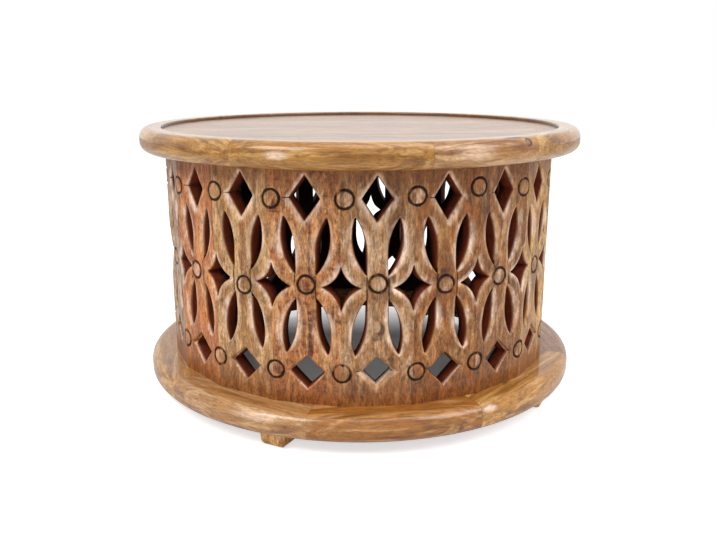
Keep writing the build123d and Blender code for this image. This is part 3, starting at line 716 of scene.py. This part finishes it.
def carved_wood(name, tones, colours, sizes, turn, seed, ripple, spots):
    """Mango board carved, stained and lacquered: rounded edges painted pale for wear and sheen, and grooves and
    saw cuts painted dark as shade.
    """
    material, tree = new_material(name)
    board = Board(tree, turn, True, seed)
    edge, from_centre, across, up = (
        add_node(tree, "Attribute", attribute_name=attribute, output="Fac")
        for attribute in ("edge", "from_centre", "across", "up")
    )

    # Painted shade under the rim and at the wall's foot: the boards are darkened there, and differ less
    height = add_node(tree, "SeparateXYZ", board.place, output="Z")
    foot = add_node(tree, "MapRange", height, WALL_LOW, WALL_LOW + 80 * MM, 1.0, 0.0)
    head = add_node(tree, "MapRange", height, WALL_HIGH - 45 * MM, WALL_HIGH, 0.0, 0.8)
    end_shade = add_node(tree, "Math", foot, head, operation="MAXIMUM")
    shared = add_node(tree, "Math", end_shade, 0.6, operation="MULTIPLY")
    wood = add_node(tree, "Mix", shared, board_colour(board, tones, ripple), colours.end_shade_brown)

    # The carved edges are painted pale, partly for wear and partly as painted highlight for the lacquer's sheen
    # on their rounding, and some of the circles' discs are pale as well
    wear_and_sheen_share = add_node(tree, "MapRange", board.drawn(45, 16, 51, 2.0, 0.6), 0.34, 0.60, 0.25, 0.95)
    on_edge = add_node(tree, "MapRange", edge, 0.0, 0.85)
    wear_and_sheen_share = add_node(tree, "Math", wear_and_sheen_share, on_edge, operation="MULTIPLY")
    disc = add_node(tree, "MapRange", from_centre, 9 * MM, 12 * MM, 0.4, 0.0)
    some = add_node(tree, "MapRange", board.drawn(50, 50, 83), 0.48, 0.56)
    disc = add_node(tree, "Math", disc, some, operation="MULTIPLY")
    pale_share = add_node(tree, "MapRange", board.drawn(60, 24, 77), 0.40, 0.58)
    pale = add_node(tree, "Mix", pale_share, tones[2], colours.wear_and_sheen)
    wood = add_node(tree, "Mix", add_node(tree, "Math", wear_and_sheen_share, disc, operation="MAXIMUM"), wood, pale)

    wood = paint_spots(board, wood, colours, spots, turn)
    strength = add_node(tree, "MapRange", wear_and_sheen_share, 0.1, 0.9, 1.0, 0.45)
    wood, relief = board_grain(board, wood, strength)
    # The carving cuts through the rings, so light and dark patches some 10 mm wide stand out
    patches = add_node(tree, "MapRange", board.drawn(42, 10, 91, 3.0, 1.6), 0.36, 0.62, 0.76, 1.16)
    wood = add_node(tree, "Mix", 1.0, wood, patches, blend_type="MULTIPLY")
    # Painted shade: the face darkens to the sawn sides' red-brown where its rounding drops into the openings
    wood = add_node(tree, "Mix", add_node(tree, "MapRange", edge, 0.84, 0.97, 0.0, 0.85), wood, colours.throat)
    # Painted shade under the rim and at the wall's foot
    wood = add_node(tree, "Mix", end_shade, wood, colours.end_shade_tint, blend_type="MULTIPLY")

    # The graver's groove is broad in places and skips in others, and its dark is painted shade
    spread, groove_middle = 3 * MM, sizes.circle_radius - sizes.groove_width / 2
    off = add_node(tree, "Math", from_centre, groove_middle, operation="SUBTRACT")
    off = add_node(tree, "Math", off, operation="ABSOLUTE")
    off = add_node(tree, "Math", board.drawn(14, 11, 57), spread, off, operation="MULTIPLY_ADD")
    ends = [part * sizes.groove_width + spread / 2 for part in (0.35, 0.8)]
    groove = add_node(tree, "MapRange", off, *ends, 1.0, 0.0)
    skips = add_node(tree, "MapRange", board.drawn(22, 16, 61), 0.34, 0.44, 0.35, 1.0)
    groove = add_node(tree, "Math", groove, skips, operation="MULTIPLY")
    # Upright saw cuts on both sides of the middle circle, drawn as dark lines of painted shade
    folded = [add_node(tree, "Math", value, operation="ABSOLUTE") for value in (across, up)]
    cuts = narrow_box(tree, *folded, (sizes.strap_half_width, 10 * MM), (0.9 * MM, 14 * MM))
    fading = add_node(tree, "MapRange", board.drawn(30, 20, 67), 0.36, 0.50, 0.25, 1.0)
    cuts = add_node(tree, "Math", cuts, fading, operation="MULTIPLY")
    # On some staves a level cut left of the diamonds, 3.5 mm higher beside the lower one
    raised = 3.5 * MM / 2
    off = add_node(tree, "Math", add_node(tree, "Math", up, raised, operation="SUBTRACT"), operation="ABSOLUTE")
    side_cuts = narrow_box(tree, across, off, (-25 * MM, sizes.row_pitch - raised), (6 * MM, 0.7 * MM))
    some = add_node(tree, "MapRange", board.drawn(60, 60, 71), 0.48, 0.54)
    side_cuts = add_node(tree, "Math", side_cuts, some, operation="MULTIPLY")
    dark = add_node(tree, "Math", cuts, side_cuts, operation="MAXIMUM")
    dark = add_node(tree, "Math", groove, dark, operation="MAXIMUM")
    # Painted shade in the grooves and saw cuts
    wood = add_node(tree, "Mix", add_node(tree, "Math", dark, 0.94, operation="MULTIPLY"), wood, colours.cut)
    relief = add_node(tree, "Math", dark, -4.0, relief, operation="MULTIPLY_ADD")
    # The lacquer sinks into the dark lines
    lacquered(tree, wood, relief, coat=add_node(tree, "MapRange", dark, 0.2, 0.8, 0.45, 0.0))
    return material


def stained_sides(name, colours, sizes, broad_sill):
    """Sawn and stained wood without lacquer: red-brown and dull in the openings, and darker towards the inside
    of the wall, where painted shade makes it nearly black.

    A broad sill is painted pale most of the way through the board, for wear and as painted highlight on its
    upward face.
    """
    material, tree = new_material(name)
    inside = add_node(tree, "Attribute", attribute_name="inside", output="Fac")
    # Painted shade: the sawn sides darken towards the inner face, as the inside of the drum is in shade
    wood = add_node(tree, "Mix", add_node(tree, "MapRange", inside, 0.5, 1.0), colours.throat, colours.inner)
    if broad_sill:
        # Painted pale for wear and as painted highlight on the broad sill's upward face
        up = add_node(tree, "Attribute", attribute_name="up", output="Fac")
        row = -sizes.row_pitch
        below = add_node(tree, "MapRange", up, row - 2 * MM, row + 2 * MM, 1.0, 0.0)
        outer = add_node(tree, "MapRange", inside, 0.5, 0.95, 0.8, 0.0)
        wear_and_sheen_share = add_node(tree, "Math", below, outer, operation="MULTIPLY")
        wood = add_node(tree, "Mix", wear_and_sheen_share, wood, colours.wear_and_sheen)
    figure = add_node(tree, "MapRange", Board(tree, 0.0, True, 5).drawn(20, 6, 3), 0.3, 0.7, 0.7, 1.25)
    wood = add_node(tree, "Mix", 1.0, wood, figure, blend_type="MULTIPLY")
    shader = add_node(tree, "BsdfPrincipled", {"Base Color": wood, "Roughness": 0.8, "Specular IOR Level": 0.2})
    add_node(tree, "OutputMaterial", shader)
    return material


def zinc_plate(name, colours):
    """Zinc-plated steel: bright grey, slightly brushed by the driver."""
    material, tree = new_material(name)
    mottle = streaks(tree, add_node(tree, "TexCoord", output="Object"), 0.0, (2 * MM, 2 * MM, 2 * MM), 3)
    shader = add_node(tree, "BsdfPrincipled", {
        "Base Color": add_node(tree, "Mix", mottle, colours.zinc, colours.zinc_bright),
        "Metallic": 1.0,
        "Roughness": add_node(tree, "MapRange", mottle, 0.2, 0.8, 0.3, 0.45),
    })
    add_node(tree, "OutputMaterial", shader)
    return material


def finish_node(name, material):
    """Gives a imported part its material."""
    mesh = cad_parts[name].data
    mesh.materials.clear()
    mesh.materials.append(material)


# Each board's wood, and how strongly its figure ripples.
# The staves are in the order that they stand round the drum, from the first
STAVE_BOARDS = (
    ("grey", 0.1), ("brown", 0.1), ("rose", 0.1), ("golden", 0.1), ("beige", 0.1),
    ("brown", 0.3), ("orange", 0.2), ("rose", 0.15), ("grey", 0.1), ("red", 0.5),
    ("golden", 0.1), ("brown", 0.2), ("beige", 0.1), ("orange", 0.3), ("rose", 0.2),
    ("golden", 0.1), ("grey", 0.1), ("orange", 0.2), ("beige", 0.1), ("red", 0.6),
)
# Woods of the rings' segments, from their first joint
RIM_WOODS = ("rim", "beige", "rim", "golden", "rim", "beige", "golden", "rim")
BASE_WOODS = ("beige", "base", "golden", "base", "rim", "base", "golden", "golden")
# How light each plank of the top is beside the others, from the front one back
PLANK_SHADES = (1.0, 0.84, 1.1, 0.9, 1.14, 0.86, 1.04)

# A dark crescent round a pale knot, and the grain that bends round it, below the first stave's middle circle
KNOT_SPOTS = (
    ("brown_deep", 0.55, 0.5, 0.6, 335, 179, (30, 11, 17)),
    ("grey", 0.8, 0.7, 0.3, 335, 182, (30, 9.5, 15.5)),
    ("cut", 0.7, 0.6, 0.65, 335, 180, (30, 8.5, 12.5)),
    ("grey_pale", 0.7, 0.6, -0.2, 335, 184, (30, 6.5, 10.5)),
    ("brown_deep", 0.6, 0.3, -0.5, 335, 165, (30, 9, 2.5)),
    ("brown_deep", 0.5, 0.3, -0.1, 335, 201, (30, 2, 9)),
)
# A painted highlight, a dark patch, a pale whorl, and a knot with a line of bark, all on the rim's front
RIM_SPOTS = (
    ("wear_and_sheen", 0.8, 0.3, -17.2, 374, 432, (30, 24, 8)),
    ("rim_deep", 0.55, 0.2, -2.0, 374, 430, (40, 48, 16)),
    ("wear_and_sheen", 0.55, 0.2, 25.0, 374, 432, (40, 42, 14)),
    ("knot", 0.95, 0.6, 39.6, 370, 443, (30, 8, 7.5)),
    ("knot_middle", 0.9, 0.6, 39.3, 370, 443, (30, 4.5, 4)),
    ("bark", 0.9, 0.4, 36.0, 363, 449, (5, 27, 6)),
)
# Painted highlights on the base ring, right and left of its front, and a dark streak between
BASE_SPOTS = (
    ("wear_and_sheen", 0.75, 0.3, 31.0, 376, 54, (30, 18, 7)),
    ("wear_and_sheen", 0.5, 0.2, -24.0, 376, 52, (40, 60, 9)),
    ("base_deep", 0.7, 0.2, 7.0, 378, 34, (40, 50, 3)),
)


def tones_of(colours, wood):
    """Middle, deep and pale colours of a wood."""
    return [getattr(colours, name) for name in (wood, f"{wood}_deep", f"{wood}_pale")]


def segment_bearings(name):
    """Bearings of a ring segment's two ends, from its points' angles about its middle."""
    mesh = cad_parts[name].data
    points = np.zeros(len(mesh.vertices) * 3, np.float32)
    mesh.vertices.foreach_get("co", points)
    x, y, _ = points.reshape(-1, 3).T
    middle = atan2(x.mean(), -y.mean())
    off = (np.arctan2(x, -y) - middle + pi) % (2 * pi) - pi
    return middle + float(off.min()), middle + float(off.max())


class DRUM_OT_staves(Operator):
    """Carves the wall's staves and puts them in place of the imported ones."""

    bl_idname = "drum.staves"
    bl_label = "Carve the staves"

    def execute(self, context):
        sizes, colours = context.scene.drum_sizes, context.scene.drum_colours
        boards = [flat_board(sizes, broad_sill) for broad_sill in (False, True)]
        sides = [
            stained_sides(name, colours, sizes, broad_sill)
            for name, broad_sill in (("stained_mango_wood_sides", False), ("rubbed_mango_wood_sides", True))
        ]
        for index in range(sizes.stave_count):
            name = f"stave_{index + 1:02d}"
            broad_sill = index == sizes.broad_sill_stave
            mesh = carve_stave(sizes, index, boards[broad_sill])
            wood, ripple = STAVE_BOARDS[index % len(STAVE_BOARDS)]
            turn = sizes.first_bearing + 2 * pi * index / sizes.stave_count
            mesh.materials.append(carved_wood(
                f"carved_mango_wood_{index + 1:02d}", tones_of(colours, wood), colours, sizes, turn,
                3 * index + 1, ripple, () if index else KNOT_SPOTS,
            ))
            mesh.materials.append(sides[broad_sill])
            stave = bpy.data.objects.new(f"{name}_carved", mesh)
            context.scene.collection.objects.link(stave)
            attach(stave, "root")
            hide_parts(name)
        return {"FINISHED"}


class DRUM_OT_rings(Operator):
    """Finishes the segments of the rim and of the base ring."""

    bl_idname = "drum.rings"
    bl_label = "Finish the rings"

    def execute(self, context):
        colours = context.scene.drum_colours
        # The rim's inner wall, by the panel, is darkened as painted shade
        for ring, woods, seed, dirt, spots in (
            ("rim_segment", RIM_WOODS, 40, (338.8 * MM, 340.8 * MM), RIM_SPOTS),
            ("base_segment", BASE_WOODS, 60, (), BASE_SPOTS),
        ):
            for number, wood in enumerate(woods, 1):
                ends = segment_bearings(f"{ring}_{number}")
                finish_node(f"{ring}_{number}", plain_wood(
                    f"lacquered_mango_wood_{ring}_{number}", tones_of(colours, wood), colours,
                    sum(ends) / 2, False, seed + 3 * number, stretch=2.2, glue=[(end, 0.0) for end in ends],
                    dirt=dirt, spots=spots, strength=0.7, roughness=0.4, coat=0.85, coat_roughness=0.11,
                ))
        return {"FINISHED"}


class DRUM_OT_panel(Operator):
    """Finishes the planks of the top, the battens under them and the feet."""

    bl_idname = "drum.panel"
    bl_label = "Finish the top and feet"

    def execute(self, context):
        colours = context.scene.drum_colours
        planks = sorted(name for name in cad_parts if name.startswith("panel_plank"))
        for number, name in enumerate(planks):
            shade = PLANK_SHADES[number % len(PLANK_SHADES)]
            tones = [[level * shade for level in tone] for tone in tones_of(colours, "panel")]
            edges = [(pi / 2, corner.y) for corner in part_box(name)]
            # The planks' edge by the rim is darkened as painted shade
            finish_node(name, plain_wood(
                f"polished_mango_wood_{name}", tones, colours, 0.0, False, 80 + 7 * number, stretch=1.6,
                glue=edges, dirt=(339 * MM, 333 * MM), strength=0.7,
                roughness=0.4, coat=0.8, coat_roughness=0.22,
            ))
        for number, name in enumerate(("batten_left", "batten_right")):
            finish_node(name, plain_wood(
                f"sawn_mango_wood_{name}", tones_of(colours, "sawn"), colours, pi / 2, False, 110 + number,
                roughness=0.85, coat=0.0,
            ))
        feet = sorted(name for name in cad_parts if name.startswith("foot_") and name[-1].isdigit())
        for number, name in enumerate(feet):
            finish_node(name, plain_wood(
                f"lacquered_mango_wood_{name}", tones_of(colours, "foot"), colours, 0.0, True,
                120 + 3 * number,
            ))
        return {"FINISHED"}


class DRUM_OT_screws(Operator):
    """Finishes the wood screws."""

    bl_idname = "drum.screws"
    bl_label = "Finish the screws"

    def execute(self, context):
        material = zinc_plate("zinc_plated_steel", context.scene.drum_colours)
        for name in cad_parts:
            if name.endswith("_screws"):
                finish_node(name, material)
        return {"FINISHED"}


def white_paper(stage):
    """Matt white paper, which looks a little brighter to the camera than it lights the wood.

    It doesn't glow inside the drum, except far back, where a painted glow stands for the light from the front
    that reaches it.
    """
    material, tree = new_material("matt_white_paper")
    place = add_node(tree, "TexCoord", output="Object")
    outside = add_node(tree, "MapRange", from_axis(tree, place), 290 * MM, 330 * MM)
    # Painted light: inside the drum the paper glows more towards the back
    back = add_node(tree, "SeparateXYZ", place, output="Y")
    back = add_node(tree, "MapRange", back, 150 * MM, 360 * MM, 0.06, 1.0)
    glow = add_node(tree, "Math", outside, back, operation="MAXIMUM")
    for share in (add_node(tree, "LightPath", output="Is Camera Ray"), stage.paper_glow):
        glow = add_node(tree, "Math", glow, share, operation="MULTIPLY")
    paper = add_node(tree, "BsdfDiffuse", {"Color": (0.85, 0.85, 0.85)})
    seen = add_node(tree, "Emission", (0.97, 0.98, 1), glow)
    add_node(tree, "OutputMaterial", add_node(tree, "AddShader", paper, seen))
    return material


def white_surroundings(stage):
    """World that is white to the camera, in reflections and through clear things, and lights more softly."""
    world = bpy.data.worlds.new("white_surroundings")
    world.use_nodes = True
    tree = world.node_tree
    tree.nodes.clear()
    seen = 0.0
    for ray in ("Is Camera Ray", "Is Glossy Ray", "Is Transmission Ray"):
        seen = add_node(tree, "Math", seen, add_node(tree, "LightPath", output=ray), operation="MAXIMUM")
    ends = (0.0, 1.0, stage.world_strength, 1.0)
    strength = add_node(tree, "MapRange", seen, *ends, interpolation_type="LINEAR")
    add_node(tree, "OutputWorld", add_node(tree, "Background", (1, 1, 1), strength))
    return world


class DRUM_OT_stage(Operator):
    """Sets up the floor, the soft lights, the white surroundings and the camera."""

    bl_idname = "drum.stage"
    bl_label = "Set the stage"

    def execute(self, context):
        stage, scene = context.scene.drum_stage, context.scene
        half = stage.floor_size / 2
        corners = [(-half, -half, 0), (half, -half, 0), (half, half, 0), (-half, half, 0)]
        mesh = bpy.data.meshes.new("floor")
        mesh.from_pydata(corners, [], [(0, 1, 2, 3)])
        mesh.materials.append(white_paper(stage))
        floor = bpy.data.objects.new("floor", mesh)
        scene.collection.objects.link(floor)
        scene.world = white_surroundings(stage)

        # The lights point at the middle of the wall, 220 mm up. They stand high enough that the polished top
        # doesn't mirror them to an eye beside the table
        for name, place, size, power in (
            ("key_softbox", (-1.5, -1.6, 2.3), 1.3, stage.key_power),
            ("side_softbox", (1.9, -1.3, 2.1), 1.6, stage.side_power),
            ("top_softbox", (0.3, -0.6, 2.6), 1.6, stage.top_power),
        ):
            lamp = bpy.data.lights.new(name, "AREA")
            lamp.size, lamp.energy = size, power
            holder = bpy.data.objects.new(name, lamp)
            holder.location = place
            aim = Vector((0, 0, 220 * MM)) - Vector(place)
            holder.rotation_euler = aim.to_track_quat("-Z", "Y").to_euler()
            scene.collection.objects.link(holder)

        lens = bpy.data.cameras.new("camera")
        lens.sensor_width, lens.lens = 36.0, stage.camera_lens
        camera = bpy.data.objects.new("camera", lens)
        camera.location = (-1 * MM, -stage.camera_distance, stage.camera_height)
        camera.rotation_euler = (pi / 2 - stage.camera_pitch, radians(0.05), radians(0.073))
        scene.collection.objects.link(camera)
        scene.camera = camera
        scene.view_settings.view_transform = "Standard"
        return {"FINISHED"}


OPERATORS = (DRUM_OT_staves, DRUM_OT_rings, DRUM_OT_panel, DRUM_OT_screws, DRUM_OT_stage)
PROPERTY_GROUPS = {
    "drum_sizes": DrumCarvingSizes,
    "drum_colours": DrumWoodColours,
    "drum_stage": DrumStageSizes,
}


class DRUM_PT_sidebar(Panel):
    """Lists the steps that dress the drum table, with their sizes and colours."""

    bl_idname = "DRUM_PT_sidebar"
    bl_label = "Carved drum table"
    bl_space_type = "VIEW_3D"
    bl_region_type = "UI"
    bl_category = "Drum table"

    def draw(self, context):
        for operator in OPERATORS:
            self.layout.operator(operator.bl_idname)
        for name in PROPERTY_GROUPS:
            group = getattr(context.scene, name)
            column = self.layout.column(align=True)
            for key in group.__annotations__:
                column.prop(group, key)


def register():
    for name, group in PROPERTY_GROUPS.items():
        bpy.utils.register_class(group)
        setattr(bpy.types.Scene, name, PointerProperty(type=group))
    for operator in OPERATORS:
        bpy.utils.register_class(operator)
    bpy.utils.register_class(DRUM_PT_sidebar)


def unregister():
    bpy.utils.unregister_class(DRUM_PT_sidebar)
    for operator in reversed(OPERATORS):
        bpy.utils.unregister_class(operator)
    for name, group in reversed(PROPERTY_GROUPS.items()):
        delattr(bpy.types.Scene, name)
        bpy.utils.unregister_class(group)


def main():
    register()
    bpy.ops.drum.staves()
    bpy.ops.drum.rings()
    bpy.ops.drum.panel()
    bpy.ops.drum.screws()
    bpy.ops.drum.stage()


if __name__ == "__main__":
    main()
